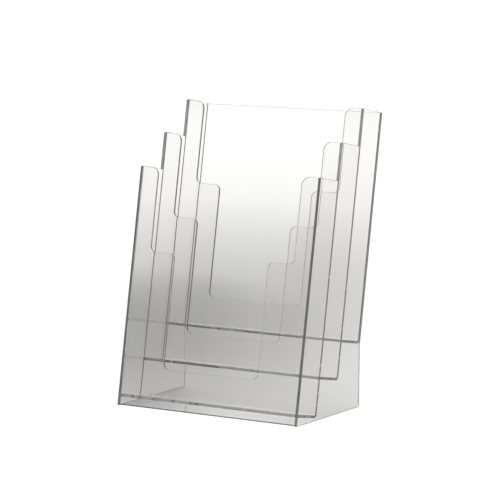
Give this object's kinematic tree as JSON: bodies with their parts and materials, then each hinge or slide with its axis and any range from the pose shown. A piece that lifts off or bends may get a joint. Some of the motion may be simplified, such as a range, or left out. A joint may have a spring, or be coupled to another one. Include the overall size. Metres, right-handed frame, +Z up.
{
  "type": "magazine rack",
  "caption": "Clear free-standing counter rack with stepped, backward-leaning pockets for A4 magazines, each with a stepped U cut-out in front; cemented plastic sheet.",
  "frame": {"origin": "on the surface the rack stands on, at the middle of its bounding box", "axes": "+Z up; -Y is the front, where the magazines face; +X is to the right of a person facing the rack; the rack is the same on both sides of X = 0"},
  "size_m": [0.236, 0.1881, 0.3402],
  "materials": {
    "clear_side_plate": "clear cast plastic sheet, polished faces, flame-polished edges",
    "clear_flat_sheet": "clear cast plastic sheet, polished faces, flame-polished edges",
    "clear_bent_sheet": "clear cast plastic sheet, heat-bent along one line, polished faces and edges",
    "cement": "set solvent cement in the joints, clear with small trapped bubbles"
  },
  "bodies": {
    "root": {"side_plate_left": "clear_side_plate", "side_plate_right": "clear_side_plate", "front_panel": "clear_flat_sheet", "lower_pocket_sheet": "clear_bent_sheet", "middle_pocket_sheet": "clear_bent_sheet", "upper_pocket_sheet": "clear_bent_sheet"}
  },
  "joints": []
}
